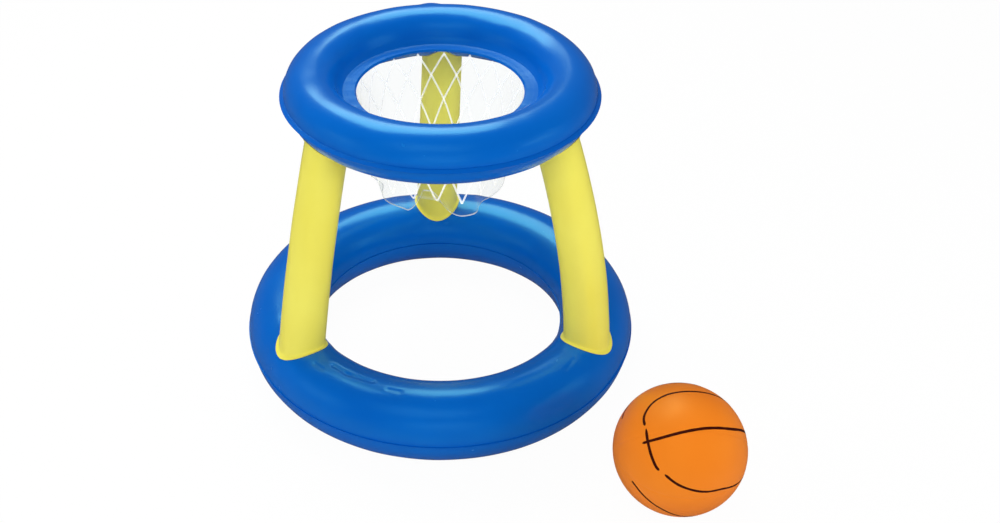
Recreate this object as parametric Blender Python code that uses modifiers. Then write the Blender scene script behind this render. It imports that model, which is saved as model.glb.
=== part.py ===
"""Inflatable pool basketball hoop on three legs, with its inflatable ball.

Two blue vinyl rings, each welded from an upper and a lower panel, are held apart by three yellow
vinyl tubes. A skirt of clear film hangs in the top ring as the net, and the ball is welded from six
gores. Lengths are in metres, with +Z up, and the origin is at the bottom centre of the hoop and the
ball together.
"""

import math

import bmesh
import bpy
from mathutils import Matrix, Vector

# Sheet, film and the clearance between two faces that are welded or touch
SHEET = 0.0004
FILM = 0.0003
GAP = 0.0003
MERGE_DISTANCE = 0.00001

# Base ring: centre line and section of its tube, weld lip, and the flat it rests on
BASE_RADIUS = 0.2483
BASE_HALF_WIDTH = 0.0552
BASE_HALF_HEIGHT = 0.0584
BASE_LIP = 0.0015
BASE_FLAT_DEPTH = 0.0005

# Top ring: centre line and section of its tube, weld lip, and the sagging weld band inside it
TOP_RADIUS = 0.1831
TOP_HALF_WIDTH = 0.0379
TOP_HALF_HEIGHT = 0.0391
TOP_SEAM_HEIGHT = 0.4667
TOP_LIP = 0.0055
TOP_HOLE_RADIUS = 0.119
TOP_BAND_DROP = 0.005

# Legs: tube radii, weld lips, and how far the heads stand outside the top ring's centre line
LEG_FOOT_TUBE_RADIUS = 0.0347
LEG_HEAD_TUBE_RADIUS = 0.0306
LEG_FOOT_LIP = 0.0036
LEG_HEAD_LIP = 0.002
LEG_HEAD_OUTSET = 0.0039
AIR_PORT_RADIUS = 0.005

# Each leg stands a little differently: azimuth, foot set in from the base ring's centre line, outward bow
# and sideways lean
LEG_BACK_AZIMUTH = math.radians(90.4)
LEG_BACK_FOOT_INSET = 0.006
LEG_BACK_BOW = 0.0035
LEG_BACK_LEAN = 0.0041
LEG_LEFT_AZIMUTH = math.radians(213.5)
LEG_LEFT_FOOT_INSET = 0.0025
LEG_LEFT_BOW = 0.0036
LEG_LEFT_LEAN = -0.0012
LEG_RIGHT_AZIMUTH = math.radians(330.35)
LEG_RIGHT_FOOT_INSET = -0.002
LEG_RIGHT_BOW = 0.0107
LEG_RIGHT_LEAN = 0.0033

# Net skirt: weld band, hem, and the soft folds towards the hem
NET_BAND_WIDTH = 0.008
NET_HEM_RADIUS = 0.1005
NET_HEM_HEIGHT = 0.316
NET_FOLD_DEPTH = 0.0025
NET_HEM_WAVE = 0.004
NET_FOLDS = 7
NET_HEM_WAVES = 3

# Ball: size, place of its centre from the hoop's axis, pole openings and pole discs
BALL_RADIUS = 0.091
BALL_RIGHT = 0.3277
BALL_FRONT = 0.340
BALL_POLE_HOLE_RADIUS = 0.006
BALL_POLE_DISC_RADIUS = 0.012
BALL_GORES = 6

# Valve: flange on the sheet, stem that slides in it, and plug on a strap
VALVE_FLANGE_RADIUS = 0.011
VALVE_FLANGE_THICKNESS = 0.0006
VALVE_COLLAR_RISE = 0.0006
VALVE_COLLAR_DEPTH = 0.008
VALVE_COLLAR_WALL = 0.001
VALVE_COLLAR_BORE_RADIUS = 0.005
STEM_LENGTH_BELOW_COLLAR = 0.003
STEM_BORE_RADIUS = 0.0026
STEM_RIM_THICKNESS = 0.001
PLUG_HEAD_RADIUS = 0.0044
PLUG_HEAD_THICKNESS = 0.0012
PLUG_SPIGOT_RADIUS = 0.0022
PLUG_SPIGOT_TIP_RADIUS = 0.0016
PLUG_SPIGOT_LENGTH = 0.003
PLUG_STRAP_WIDTH = 0.003
PLUG_STRAP_THICKNESS = 0.0006

# How finely round forms are faceted
RING_STEPS = 40
ARC_STEPS = 8
LEG_POINTS = 8
LEG_BEVEL_RESOLUTION = 6
DISC_SIDES = 24
PORT_SIDES = 16
VALVE_STEPS = 16
NET_STEPS = 42
GORE_STEPS = 6
GORE_ARC_STEPS = 12

# Heights of a leg's hidden ends and of its weld discs' roots, as shares of the ring's half height
LEG_TUCK_SHARE = 0.7
DISC_ROOT_SHARE = 0.3

# Film of the net between its weld band and its hem: shares of the drop, with shares of the draw-in
NET_PROFILE_SHARES = ((0.0, 0.0), (0.21, 0.19), (0.49, 0.48), (0.76, 0.74), (1.0, 1.0))

# Valve places: facet counted round the ring and up the section, or along and round the ball's gore
BASE_VALVE_FACET = (8, 1)
TOP_VALVE_FACET = (10, 1)
BALL_VALVE_GORE = 2
BALL_VALVE_FACET = (5, 2)

IDENTITY = Matrix.Identity(4)


class Ring:
    """An inflated ring with an elliptic tube section, whose two seams lie in one level plane."""

    def __init__(self, radius, half_width, half_height, seam_height, flat_depth=0.0):
        self.radius = radius
        self.half_width = half_width
        self.half_height = half_height
        self.seam_height = seam_height
        self.flat_angle = math.acos(1 - flat_depth / half_height)

    def point(self, angle, side, offset):
        """Radius and height of the section at an angle from its outer seam, grown by an offset."""
        radius = self.radius + (self.half_width + offset) * math.cos(angle)
        height = self.seam_height + side * (self.half_height + offset) * math.sin(angle)
        return radius, height

    def angles(self, side, height):
        """Angles from the outer to the inner seam, from a height above the seam and back to it."""
        first = math.asin(height / self.half_height)
        flat = self.flat_angle if side < 0 else 0.0
        reach = math.pi / 2 - flat - first
        steps = ARC_STEPS // 2
        outer = [first + reach * step / steps for step in range(steps + 1)]
        inner = [math.pi - angle for angle in reversed(outer)]
        return outer + (inner if flat else inner[1:])


BASE_SEAM_HEIGHT = BASE_HALF_HEIGHT - BASE_FLAT_DEPTH
BASE = Ring(BASE_RADIUS, BASE_HALF_WIDTH, BASE_HALF_HEIGHT, BASE_SEAM_HEIGHT, BASE_FLAT_DEPTH)
TOP = Ring(TOP_RADIUS, TOP_HALF_WIDTH, TOP_HALF_HEIGHT, TOP_SEAM_HEIGHT)
BASE_OUTER_RADIUS = BASE_RADIUS + BASE_HALF_WIDTH + BASE_LIP

# Each gore is set out from the ball's centre, so that its edges keep the clearance to its neighbours
GORE_ANGLE = 2 * math.pi / BALL_GORES
GORE_SHIFT = GAP / (2 * math.sin(GORE_ANGLE / 2))
GORE_RADIUS = BALL_RADIUS - GORE_SHIFT
POLE_ANGLE = math.asin(BALL_POLE_HOLE_RADIUS / GORE_RADIUS)
GORE_ARC_ANGLE = math.pi - 2 * POLE_ANGLE
BALL_HALF_LENGTH = GORE_RADIUS * math.cos(POLE_ANGLE)

# The hoop's axis and the ball's centre, from the bottom centre of the box round both
HOOP_X = (BASE_OUTER_RADIUS - BALL_RIGHT - BALL_HALF_LENGTH) / 2
HOOP_Y = (BALL_FRONT + BALL_RADIUS - BASE_OUTER_RADIUS) / 2
HOOP_PLACE = Matrix.Translation((HOOP_X, HOOP_Y, 0))
BALL_PLACE = Matrix.Translation((HOOP_X + BALL_RIGHT, HOOP_Y - BALL_FRONT, BALL_RADIUS))


# Scene, collections and materials
def clear_scene():
    """Removes every object of the open scene."""
    for obj in list(bpy.context.scene.objects):
        bpy.data.objects.remove(obj, do_unlink=True)


def new_collection(name):
    """A collection linked to the scene."""
    collection = bpy.data.collections.new(name)
    bpy.context.scene.collection.children.link(collection)
    return collection


def new_material(name, colour, roughness, alpha=1.0):
    """A Principled material of plastic."""
    material = bpy.data.materials.new(name)
    material.use_nodes = True
    shader = material.node_tree.nodes["Principled BSDF"]
    shader.inputs["Base Color"].default_value = (*colour, 1.0)
    shader.inputs["Roughness"].default_value = roughness
    shader.inputs["Metallic"].default_value = 0.0
    shader.inputs["Alpha"].default_value = alpha
    material.diffuse_color = (*colour, alpha)
    return material


clear_scene()
PARTS = new_collection("inflatable_pool_basketball_hoop")
CUTTERS = new_collection("cutters")
BLUE = new_material("blue_vinyl", (0.004, 0.12, 0.56), 0.3)
YELLOW = new_material("yellow_vinyl", (0.80, 0.73, 0.11), 0.35)
ORANGE = new_material("orange_vinyl", (0.85, 0.22, 0.03), 0.4)
CLEAR = new_material("clear_film", (0.9, 0.92, 0.93), 0.1, alpha=0.35)
VALVE = new_material("clear_soft_vinyl", (0.8, 0.83, 0.85), 0.25, alpha=0.6)


def add_node(name, mesh, material, parent, place=IDENTITY):
    """A sub-part of the object, placed under its parent."""
    mesh.materials.append(material)
    mesh.shade_smooth()
    mesh.set_sharp_from_angle(angle=math.radians(35))
    obj = bpy.data.objects.new(name, mesh)
    PARTS.objects.link(obj)
    obj.parent = parent
    obj.matrix_local = place
    return obj


def add_cutter(name, mesh, parent, place=IDENTITY):
    """A body that only cuts others."""
    obj = bpy.data.objects.new(name, mesh)
    CUTTERS.objects.link(obj)
    obj.parent = parent
    obj.matrix_local = place
    obj.hide_render = True
    obj.display_type = "WIRE"
    return obj


def add_empty(name, place):
    """An empty that carries a group of pieces."""
    obj = bpy.data.objects.new(name, None)
    PARTS.objects.link(obj)
    obj.matrix_local = place
    return obj


# Modelling tools
def outline_mesh(name, points, closed):
    """A line of points in the XZ plane, running down at its outer side."""
    area = sum(
        first[0] * second[1] - second[0] * first[1]
        for first, second in zip(points, points[1:] + points[:1])
    )
    ordered = list(reversed(points)) if area > 0 else list(points)
    mesh = bpy.data.meshes.new(name)
    edges = [(index, index + 1) for index in range(len(ordered) - 1)]
    if closed:
        edges.append((len(ordered) - 1, 0))
    mesh.from_pydata([(radius, 0, height) for radius, height in ordered], edges, [])
    return mesh


def turn(obj, steps, angle=2 * math.pi):
    """Turns an outline about the object's Z axis."""
    screw = obj.modifiers.new("turn", "SCREW")
    screw.angle = angle
    screw.steps = steps
    screw.render_steps = steps
    screw.use_merge_vertices = True
    screw.merge_threshold = MERGE_DISTANCE
    screw.use_smooth_shade = True
    return obj


def thicken(obj, thickness, offset):
    """Gives an open sheet its thickness."""
    solidify = obj.modifiers.new("sheet", "SOLIDIFY")
    solidify.thickness = thickness
    solidify.offset = offset
    solidify.use_even_offset = True
    return obj


def cut(obj, cutter, operation="DIFFERENCE"):
    """Cuts an object with a cutter, or keeps what lies in it."""
    boolean = obj.modifiers.new(cutter.name, "BOOLEAN")
    boolean.operation = operation
    boolean.solver = "EXACT"
    boolean.object = cutter
    return obj


def evaluated_mesh(obj, name):
    """The mesh of an object with its modifiers applied, in the object's own space."""
    bpy.context.view_layer.update()
    graph = bpy.context.evaluated_depsgraph_get()
    mesh = bpy.data.meshes.new_from_object(obj.evaluated_get(graph), depsgraph=graph)
    mesh.name = name
    return mesh


def rod_mesh(name, radius, start, end, sides):
    """A cylinder from one point to another."""
    axis = end - start
    turned = axis.to_track_quat("Z", "Y").to_matrix().to_4x4()
    place = Matrix.Translation((start + end) / 2) @ turned
    body = bmesh.new()
    bmesh.ops.create_cone(
        body, cap_ends=True, segments=sides, radius1=radius, radius2=radius, depth=axis.length, matrix=place
    )
    mesh = bpy.data.meshes.new(name)
    body.to_mesh(mesh)
    body.free()
    return mesh


# Rings
def ring_panel(name, ring, side, lip, inner_edge, drop, parent):
    """One half of a ring: the sheet over the tube, its outer weld lip and its inner weld band."""
    face = GAP / 2
    back = face + SHEET
    outer_edge = ring.radius + ring.half_width + lip
    outside = [ring.point(angle, side, 0.0) for angle in ring.angles(side, back)]
    inside = [ring.point(angle, side, -SHEET) for angle in ring.angles(side, face)]
    points = [(outer_edge, ring.seam_height + side * face), (outer_edge, ring.seam_height + side * back)]
    points += outside
    points += [
        (inner_edge, ring.seam_height + side * back - drop),
        (inner_edge, ring.seam_height + side * face - drop),
    ]
    points += reversed(inside)
    return turn(add_node(name, outline_mesh(name, points, True), BLUE, parent), RING_STEPS)


def ring_solid(name, ring, offset, parent):
    """The whole space of a ring's tube, grown by an offset, to fit what is welded on it."""
    height = GAP / 2 + SHEET
    upper = [ring.point(angle, 1, offset) for angle in ring.angles(1, height)]
    lower = [ring.point(angle, -1, offset) for angle in ring.angles(-1, height)]
    points = upper + list(reversed(lower))
    return turn(add_cutter(name, outline_mesh(name, points, True), parent), RING_STEPS)


def facet_place(corners):
    """The frame at the middle of a facet, with Z out of it and X along its first edge."""
    middle = sum(corners, Vector()) / len(corners)
    along = (corners[1] - corners[0]).normalized()
    normal = (corners[1] - corners[0]).cross(corners[3] - corners[0]).normalized()
    across = normal.cross(along)
    place = Matrix((along, across, normal)).transposed().to_4x4()
    place.translation = middle
    return place


def ring_facet(ring, facet):
    """The frame on a facet of a ring's upper panel."""
    angles = ring.angles(1, GAP / 2 + SHEET)
    corners = []
    for step, level in ((0, 0), (1, 0), (1, 1), (0, 1)):
        azimuth = 2 * math.pi * (facet[0] + step) / RING_STEPS
        radius, height = ring.point(angles[facet[1] + level], 1, 0.0)
        corners.append(Vector((radius * math.cos(azimuth), radius * math.sin(azimuth), height)))
    return facet_place(corners)


# Legs
FOOT_HEIGHT = BASE.seam_height + BASE.half_height
HEAD_HEIGHT = TOP.seam_height - TOP.half_height
HEAD_RADIUS = TOP.radius + LEG_HEAD_OUTSET


class Leg:
    """A leg's name, its place round the hoop's axis, and its centre line before it is turned there."""

    def __init__(self, name, azimuth, foot_inset, bow, lean):
        self.name = name
        self.place = Matrix.Rotation(azimuth, 4, "Z")
        self.foot_radius = BASE.radius - foot_inset
        self.bow = bow
        self.lean = lean

    def point(self, height):
        """A point on the centre line, which bows outward along X and leans along Y."""
        share = (height - FOOT_HEIGHT) / (HEAD_HEIGHT - FOOT_HEIGHT)
        chord = self.foot_radius + share * (HEAD_RADIUS - self.foot_radius)
        outward = chord + 4 * self.bow * share * (1 - share)
        return Vector((outward, self.lean * (1 - 2 * share), height))


LEGS = (
    Leg("back", LEG_BACK_AZIMUTH, LEG_BACK_FOOT_INSET, LEG_BACK_BOW, LEG_BACK_LEAN),
    Leg("left", LEG_LEFT_AZIMUTH, LEG_LEFT_FOOT_INSET, LEG_LEFT_BOW, LEG_LEFT_LEAN),
    Leg("right", LEG_RIGHT_AZIMUTH, LEG_RIGHT_FOOT_INSET, LEG_RIGHT_BOW, LEG_RIGHT_LEAN),
)


def leg_tube_mesh(leg, name):
    """The open tube of a leg, reaching into both rings before it is cut to them."""
    low = FOOT_HEIGHT - LEG_TUCK_SHARE * BASE.half_height
    high = HEAD_HEIGHT + LEG_TUCK_SHARE * TOP.half_height
    curve = bpy.data.curves.new(name, "CURVE")
    curve.dimensions = "3D"
    curve.bevel_depth = LEG_FOOT_TUBE_RADIUS
    curve.bevel_resolution = LEG_BEVEL_RESOLUTION
    curve.use_fill_caps = False
    spline = curve.splines.new("POLY")
    spline.points.add(LEG_POINTS - 1)
    slimming = LEG_HEAD_TUBE_RADIUS / LEG_FOOT_TUBE_RADIUS - 1
    for index, point in enumerate(spline.points):
        share = index / (LEG_POINTS - 1)
        place = leg.point(low + share * (high - low))
        point.co = (*place, 1)
        point.radius = 1 + share * slimming
    carrier = bpy.data.objects.new(name, curve)
    PARTS.objects.link(carrier)
    mesh = evaluated_mesh(carrier, name)
    bpy.data.objects.remove(carrier)
    mesh.materials.clear()
    return mesh


def weld_disc(leg, name, ring, side, tube_radius, lip, solids, parent):
    """The saddle-shaped disc that closes a leg's end and is welded on a ring."""
    surface = ring.seam_height + side * ring.half_height
    root = leg.point(ring.seam_height + side * DISC_ROOT_SHARE * ring.half_height)
    rim = leg.point(surface + side * DISC_ROOT_SHARE * ring.half_height)
    mesh = rod_mesh(name, tube_radius + lip, root, rim, DISC_SIDES)
    disc = add_node(name, mesh, YELLOW, parent, leg.place)
    cut(disc, solids["disc_back"], "INTERSECT")
    cut(disc, solids["disc_face"])
    return disc


def ring_solids(prefix, ring, parent):
    """The faces of a ring that a weld disc lies on and reaches up to, and that a tube ends at."""
    return {
        "disc_face": ring_solid(prefix + "_disc_face", ring, GAP, parent),
        "disc_back": ring_solid(prefix + "_disc_back", ring, GAP + SHEET, parent),
        "tube_end": ring_solid(prefix + "_tube_end", ring, 2 * GAP + SHEET, parent),
    }


def build_legs(parent, base_panel):
    """Three legs, each a tube between a foot disc and a head disc, with an air port at the foot."""
    base_solids = ring_solids("base", BASE, parent)
    top_solids = ring_solids("top", TOP, parent)
    for leg in LEGS:
        name = "leg_tube_" + leg.name
        tube = add_node(name, leg_tube_mesh(leg, name), YELLOW, parent, leg.place)
        thicken(tube, SHEET, -1)
        cut(tube, base_solids["tube_end"])
        cut(tube, top_solids["tube_end"])
        foot_name = "leg_foot_disc_" + leg.name
        foot = weld_disc(leg, foot_name, BASE, 1, LEG_FOOT_TUBE_RADIUS, LEG_FOOT_LIP, base_solids, parent)
        head_name = "leg_head_disc_" + leg.name
        weld_disc(leg, head_name, TOP, -1, LEG_HEAD_TUBE_RADIUS, LEG_HEAD_LIP, top_solids, parent)
        port_name = "air_port_" + leg.name
        port_low = leg.point(FOOT_HEIGHT - AIR_PORT_RADIUS)
        port_high = leg.point(FOOT_HEIGHT + AIR_PORT_RADIUS)
        port_mesh = rod_mesh(port_name, AIR_PORT_RADIUS, port_low, port_high, PORT_SIDES)
        port = add_cutter(port_name, port_mesh, parent, leg.place)
        cut(foot, port)
        cut(base_panel, port)


# Net
def net_profile():
    """The film's middle line from the outer edge of its weld band down to its hem."""
    inner_tube = TOP.radius - TOP.half_width
    slope = TOP_BAND_DROP / (inner_tube - TOP_HOLE_RADIUS)
    below = GAP / 2 + SHEET + GAP + FILM / 2
    edge_height = TOP.seam_height - TOP_BAND_DROP - below
    band = [
        (TOP_HOLE_RADIUS + NET_BAND_WIDTH, edge_height + slope * NET_BAND_WIDTH),
        (TOP_HOLE_RADIUS, edge_height),
    ]
    top_radius = TOP_HOLE_RADIUS - FILM
    top_height = edge_height - FILM
    film = [
        (top_radius + draw * (NET_HEM_RADIUS - top_radius), top_height + drop * (NET_HEM_HEIGHT - top_height))
        for drop, draw in NET_PROFILE_SHARES
    ]
    return band + film


def build_net(parent):
    """The clear skirt: turned from its middle line, then folded and waved towards its hem."""
    profile = net_profile()
    top_height = profile[1][1]
    body = bmesh.new()
    points = [body.verts.new((radius, 0, height)) for radius, height in profile]
    edges = [body.edges.new(pair) for pair in zip(points, points[1:])]
    bmesh.ops.spin(
        body, geom=points + edges, cent=(0, 0, 0), axis=(0, 0, 1), angle=2 * math.pi, steps=NET_STEPS,
        use_merge=True,
    )
    bmesh.ops.remove_doubles(body, verts=body.verts, dist=MERGE_DISTANCE)
    for point in body.verts:
        share = max(0.0, (top_height - point.co.z) / (top_height - NET_HEM_HEIGHT))
        azimuth = math.atan2(point.co.y, point.co.x)
        fold = NET_FOLD_DEPTH * share ** 2 * math.cos(NET_FOLDS * azimuth)
        flat = Vector((point.co.x, point.co.y, 0)).normalized()
        point.co += fold * flat
        point.co.z += NET_HEM_WAVE * share ** 2 * math.sin(NET_HEM_WAVES * azimuth)
    bmesh.ops.recalc_face_normals(body, faces=body.faces)
    mesh = bpy.data.meshes.new("net_skirt")
    body.to_mesh(mesh)
    body.free()
    return thicken(add_node("net_skirt", mesh, CLEAR, parent), FILM, 0)


# Valves
COLLAR_OUTER_RADIUS = VALVE_COLLAR_BORE_RADIUS + VALVE_COLLAR_WALL
FLANGE_TOP = GAP + VALVE_FLANGE_THICKNESS
COLLAR_TOP = FLANGE_TOP + VALVE_COLLAR_RISE
STEM_OUTER_RADIUS = VALVE_COLLAR_BORE_RADIUS - GAP
STEM_BOTTOM = -VALVE_COLLAR_DEPTH - STEM_LENGTH_BELOW_COLLAR
RIM_BOTTOM = COLLAR_TOP + GAP
RIM_TOP = RIM_BOTTOM + STEM_RIM_THICKNESS
HEAD_BOTTOM = RIM_TOP + GAP
HEAD_TOP = HEAD_BOTTOM + PLUG_HEAD_THICKNESS
SPIGOT_BOTTOM = HEAD_BOTTOM - PLUG_SPIGOT_LENGTH
STRAP_MIDDLE = (HEAD_BOTTOM + HEAD_TOP) / 2


def valve_flange(name, parent, place):
    """The disc on the sheet and the collar that goes down through the sheet's hole."""
    points = [
        (VALVE_COLLAR_BORE_RADIUS, -VALVE_COLLAR_DEPTH),
        (VALVE_COLLAR_BORE_RADIUS, COLLAR_TOP),
        (COLLAR_OUTER_RADIUS, COLLAR_TOP),
        (COLLAR_OUTER_RADIUS, FLANGE_TOP),
        (VALVE_FLANGE_RADIUS, FLANGE_TOP),
        (VALVE_FLANGE_RADIUS, GAP),
        (COLLAR_OUTER_RADIUS, GAP),
        (COLLAR_OUTER_RADIUS, -VALVE_COLLAR_DEPTH),
    ]
    return turn(add_node(name, outline_mesh(name, points, True), VALVE, parent, place), VALVE_STEPS)


def valve_stem(name, parent, place):
    """The tube that pulls out of the collar to be blown up and is pushed in again."""
    points = [
        (STEM_BORE_RADIUS, STEM_BOTTOM),
        (STEM_BORE_RADIUS, RIM_TOP),
        (COLLAR_OUTER_RADIUS, RIM_TOP),
        (COLLAR_OUTER_RADIUS, RIM_BOTTOM),
        (STEM_OUTER_RADIUS, RIM_BOTTOM),
        (STEM_OUTER_RADIUS, STEM_BOTTOM),
    ]
    return turn(add_node(name, outline_mesh(name, points, True), VALVE, parent, place), VALVE_STEPS)


def valve_plug(name, parent, place):
    """The plug with its tapered spigot and strap; its origin is on the strap's bend at the rim."""
    points = [
        (0, HEAD_TOP),
        (PLUG_HEAD_RADIUS, HEAD_TOP),
        (PLUG_HEAD_RADIUS, HEAD_BOTTOM),
        (PLUG_SPIGOT_RADIUS, HEAD_BOTTOM),
        (PLUG_SPIGOT_TIP_RADIUS, SPIGOT_BOTTOM),
        (0, SPIGOT_BOTTOM),
    ]
    body = turn(add_cutter(name + "_body", outline_mesh(name, points, False), None), VALVE_STEPS)
    strap_body = bmesh.new()
    strap_length = COLLAR_OUTER_RADIUS - PLUG_SPIGOT_RADIUS
    size = Matrix.Diagonal((strap_length, PLUG_STRAP_WIDTH, PLUG_STRAP_THICKNESS, 1))
    middle = Matrix.Translation((strap_length / 2 - COLLAR_OUTER_RADIUS, 0, STRAP_MIDDLE))
    bmesh.ops.create_cube(strap_body, size=1, matrix=middle @ size)
    strap_mesh = bpy.data.meshes.new(name + "_strap")
    strap_body.to_mesh(strap_mesh)
    strap_body.free()
    strap = add_cutter(name + "_strap", strap_mesh, None)
    cut(body, strap, "UNION")
    mesh = evaluated_mesh(body, name)
    bpy.data.objects.remove(body)
    bpy.data.objects.remove(strap)
    hinge = Matrix.Translation((-COLLAR_OUTER_RADIUS, 0, STRAP_MIDDLE))
    mesh.transform(hinge.inverted())
    return add_node(name, mesh, VALVE, parent, place @ hinge)


def build_valve(prefix, sheet, parent, place):
    """A flange, stem and plug on a sheet, and the hole that the collar goes through."""
    hole_name = prefix + "_hole"
    depth = Vector((0, 0, VALVE_COLLAR_DEPTH))
    hole_mesh = rod_mesh(hole_name, COLLAR_OUTER_RADIUS + GAP, -depth, depth, VALVE_STEPS)
    cut(sheet, add_cutter(hole_name, hole_mesh, parent, place))
    valve_flange(prefix + "_flange", parent, place)
    valve_stem(prefix + "_stem", parent, place)
    valve_plug(prefix + "_plug", parent, place)


# Ball
POLES_LEVEL = Matrix.Rotation(math.pi / 2, 4, "Y")


def gore_place(index):
    """The place of a gore round the ball's level axis, with the first one facing down."""
    outward = Matrix.Rotation(GORE_ANGLE * index, 4, "Z")
    return POLES_LEVEL @ outward @ Matrix.Translation((GORE_SHIFT, 0, 0))


def gore_arc(radius, first, last, steps):
    """Points of an arc about the ball's centre, by the angle from the pole."""
    angles = [first + (last - first) * step / steps for step in range(steps + 1)]
    return [(radius * math.sin(angle), radius * math.cos(angle)) for angle in angles]


def gore_facet(facet):
    """The frame on a facet of a gore, in the gore's own space."""
    corners = []
    for along, around in ((0, 0), (0, 1), (1, 1), (1, 0)):
        angle = POLE_ANGLE + GORE_ARC_ANGLE * (facet[0] + along) / GORE_ARC_STEPS
        azimuth = GORE_ANGLE * ((facet[1] + around) / GORE_STEPS - 1 / 2)
        level = GORE_RADIUS * math.sin(angle)
        height = GORE_RADIUS * math.cos(angle)
        corners.append(Vector((level * math.cos(azimuth), level * math.sin(azimuth), height)))
    place = facet_place(corners)
    if place.col[2].to_3d().dot(place.translation) < 0:
        place = place @ Matrix.Rotation(math.pi, 4, "X")
    return place


def build_ball(parent):
    """Six gores, a disc inside each pole, and the ball's own valve."""
    start = Matrix.Rotation(-GORE_ANGLE / 2, 4, "Z")
    for index in range(BALL_GORES):
        name = f"ball_gore_{index + 1}"
        arc = gore_arc(GORE_RADIUS, POLE_ANGLE, POLE_ANGLE + GORE_ARC_ANGLE, GORE_ARC_STEPS)
        gore = add_node(name, outline_mesh(name, arc, False), ORANGE, parent, gore_place(index) @ start)
        turn(gore, GORE_STEPS, GORE_ANGLE)
        thicken(gore, SHEET, -1)
        if index == BALL_VALVE_GORE:
            build_valve("ball_valve", gore, parent, gore_place(index) @ gore_facet(BALL_VALVE_FACET))
    disc_back = (GORE_RADIUS - SHEET) * math.cos(GORE_ARC_ANGLE / (2 * GORE_ARC_STEPS)) - GAP
    edge = math.asin(BALL_POLE_DISC_RADIUS / disc_back)
    for side, pole in enumerate(("left", "right")):
        name = "ball_pole_disc_" + pole
        back = gore_arc(disc_back, 0, edge, ARC_STEPS // 2)
        front = gore_arc(disc_back - SHEET, edge, 0, ARC_STEPS // 2)
        place = POLES_LEVEL @ Matrix.Rotation(math.pi * (1 - side), 4, "X")
        turn(add_node(name, outline_mesh(name, back + front, False), ORANGE, parent, place), VALVE_STEPS)


def build_hoop(parent):
    """The two rings, the legs, the net and the rings' valves."""
    base_inner_edge = BASE.radius - BASE.half_width - BASE_LIP
    base_upper = ring_panel("base_ring_upper_panel", BASE, 1, BASE_LIP, base_inner_edge, 0.0, parent)
    ring_panel("base_ring_lower_panel", BASE, -1, BASE_LIP, base_inner_edge, 0.0, parent)
    top_upper = ring_panel(
        "top_ring_upper_panel", TOP, 1, TOP_LIP, TOP_HOLE_RADIUS, TOP_BAND_DROP, parent
    )
    ring_panel("top_ring_lower_panel", TOP, -1, TOP_LIP, TOP_HOLE_RADIUS, TOP_BAND_DROP, parent)
    build_legs(parent, base_upper)
    build_net(parent)
    build_valve("base_valve", base_upper, parent, ring_facet(BASE, BASE_VALVE_FACET))
    build_valve("top_valve", top_upper, parent, ring_facet(TOP, TOP_VALVE_FACET))


build_hoop(add_empty("hoop_axis", HOOP_PLACE))
build_ball(add_empty("ball_centre", BALL_PLACE))
bpy.context.view_layer.update()
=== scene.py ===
"""Looks of the inflatable pool basketball hoop and its ball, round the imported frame. Metres, +Z up."""

import math

import bmesh
import bpy
from mathutils import Matrix, Vector, noise


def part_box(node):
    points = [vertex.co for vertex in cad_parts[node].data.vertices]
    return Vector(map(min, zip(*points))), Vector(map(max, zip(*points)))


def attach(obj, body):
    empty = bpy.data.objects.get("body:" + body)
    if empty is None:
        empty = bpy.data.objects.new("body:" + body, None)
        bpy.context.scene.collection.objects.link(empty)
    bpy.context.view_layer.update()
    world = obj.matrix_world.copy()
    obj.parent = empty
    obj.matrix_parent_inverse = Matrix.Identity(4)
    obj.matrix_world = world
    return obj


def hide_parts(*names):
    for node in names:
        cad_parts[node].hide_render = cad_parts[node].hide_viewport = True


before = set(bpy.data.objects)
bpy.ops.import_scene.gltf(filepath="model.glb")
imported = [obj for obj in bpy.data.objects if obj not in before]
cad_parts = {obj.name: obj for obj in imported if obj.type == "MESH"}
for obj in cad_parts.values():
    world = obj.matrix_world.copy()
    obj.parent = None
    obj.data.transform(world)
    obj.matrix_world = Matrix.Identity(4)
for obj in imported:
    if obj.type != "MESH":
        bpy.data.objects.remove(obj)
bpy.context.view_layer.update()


# Studio. The toy stands on white paper in a white room, and the camera is where the photograph was
# taken from, in front of it and above. One large softbox high behind it draws the broad highlights on
# the tubes, and wide screens fill in from the front without a highlight of their own.
ring_low, ring_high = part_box("base_ring_upper_panel")
HOOP_X = (ring_low.x + ring_high.x) / 2
HOOP_Y = (ring_low.y + ring_high.y) / 2
CAMERA_BACK = 1.5466
CAMERA_HEIGHT = 1.2940
CAMERA_PITCH = math.radians(53.767)
CAMERA_LENS = 44.28
CAMERA_SHIFT = 0.0597
ROOM_LIGHT = 0.1
ROOM_GLOSS = 0.1
PAPER_GLOSS = 0.12
PAPER_SIZE = 12.0
PAPER_WHITE_SHARE = 0.97
LAMP_TARGET = Vector((HOOP_X, HOOP_Y, 0.3))
# Azimuth and height over the floor in degrees, distance, width, height and power of each lamp
SOFTBOXES = {"softbox_behind": (106, 58, 2.4, 1.7, 1.7, 38.0)}
FILL_SCREENS = {
    "screen_front": (262, 48, 2.4, 1.6, 1.0, 20.0),
    "screen_low": (270, 12, 2.6, 1.6, 0.8, 15.0),
    "screen_low_left": (200, 14, 2.6, 1.2, 0.8, 13.0),
    "screen_low_right": (340, 14, 2.6, 1.2, 0.8, 22.0),
    "screen_back_left": (140, 45, 2.4, 1.2, 1.0, 15.0),
}


def srgb(code):
    """A colour written as sRGB hex, turned to linear."""
    values = [int(code[start:start + 2], 16) / 255 for start in (1, 3, 5)]
    linear = [value / 12.92 if value <= 0.04045 else ((value + 0.055) / 1.055) ** 2.4 for value in values]
    return (*linear, 1.0)


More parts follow.
